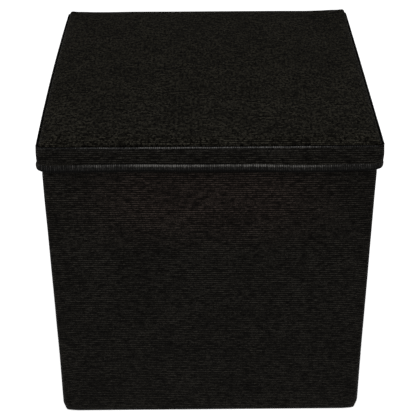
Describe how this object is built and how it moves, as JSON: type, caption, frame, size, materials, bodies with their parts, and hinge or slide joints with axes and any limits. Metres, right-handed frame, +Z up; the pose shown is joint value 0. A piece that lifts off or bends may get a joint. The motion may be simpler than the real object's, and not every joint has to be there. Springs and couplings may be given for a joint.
{
  "type": "ottoman with storage",
  "caption": "Cube ottoman in black woven cloth: board walls, a padded lift-off lid with a hemmed skirt, and a hinged floor panel over a storage space.",
  "frame": {"origin": "on the floor, at the centre of the footprint", "axes": "+Z up, -Y towards the front; the floor panel is hinged along the back wall at +Y"},
  "size_m": [0.38, 0.38, 0.387],
  "materials": {
    "cover_cloth": "matte woven, with fine slubs",
    "lining_cloth": "matte spun-bonded",
    "tape_cloth": "matte ribbed tape",
    "fibreboard": "raw, smooth",
    "foam_pad": "matte open-cell foam"
  },
  "bodies": {
    "box": {"back_board": "fibreboard", "back_bottom_hem": "cover_cloth", "back_cover": "cover_cloth", "back_lining": "lining_cloth", "back_rim_fold": "cover_cloth", "bottom_sheet": "lining_cloth", "front_board": "fibreboard", "front_bottom_hem": "cover_cloth", "front_cover": "cover_cloth", "front_lining": "lining_cloth", "front_rim_fold": "cover_cloth", "left_bottom_hem": "cover_cloth", "left_cover": "cover_cloth", "left_front_board": "fibreboard", "left_lining": "lining_cloth", "left_rear_board": "fibreboard", "left_rim_fold": "cover_cloth", "right_bottom_hem": "cover_cloth", "right_cover": "cover_cloth", "right_front_board": "fibreboard", "right_lining": "lining_cloth", "right_rear_board": "fibreboard", "right_rim_fold": "cover_cloth", "wall_hinge_tape": "tape_cloth"},
    "floor_panel": {"floor_backing": "lining_cloth", "floor_board": "fibreboard", "floor_edge_binding": "tape_cloth", "floor_hinge_tape": "tape_cloth", "floor_lining": "lining_cloth", "pull_tab": "tape_cloth"},
    "lid": {"lid_back_hem": "cover_cloth", "lid_back_rim_strip": "fibreboard", "lid_back_skirt": "cover_cloth", "lid_back_skirt_lining": "lining_cloth", "lid_board": "fibreboard", "lid_foam": "foam_pad", "lid_front_hem": "cover_cloth", "lid_front_rim_strip": "fibreboard", "lid_front_skirt": "cover_cloth", "lid_front_skirt_lining": "lining_cloth", "lid_left_hem": "cover_cloth", "lid_left_rim_strip": "fibreboard", "lid_left_skirt": "cover_cloth", "lid_left_skirt_lining": "lining_cloth", "lid_lining": "lining_cloth", "lid_right_hem": "cover_cloth", "lid_right_rim_strip": "fibreboard", "lid_right_skirt": "cover_cloth", "lid_right_skirt_lining": "lining_cloth", "lid_seam_welt": "cover_cloth", "lid_top_cover": "cover_cloth"}
  },
  "joints": [
    {"name": "lid_lift", "type": "slide", "parent": "box", "child": "lid", "axis": [0, 0, 1], "range_m": [0, 0.3]},
    {"name": "floor_panel_turn", "type": "hinge", "parent": "box", "child": "floor_panel", "pos_m": [0, 0.176, 0.0094], "axis": [-1, 0, 0], "range_deg": [0, 90]}
  ]
}
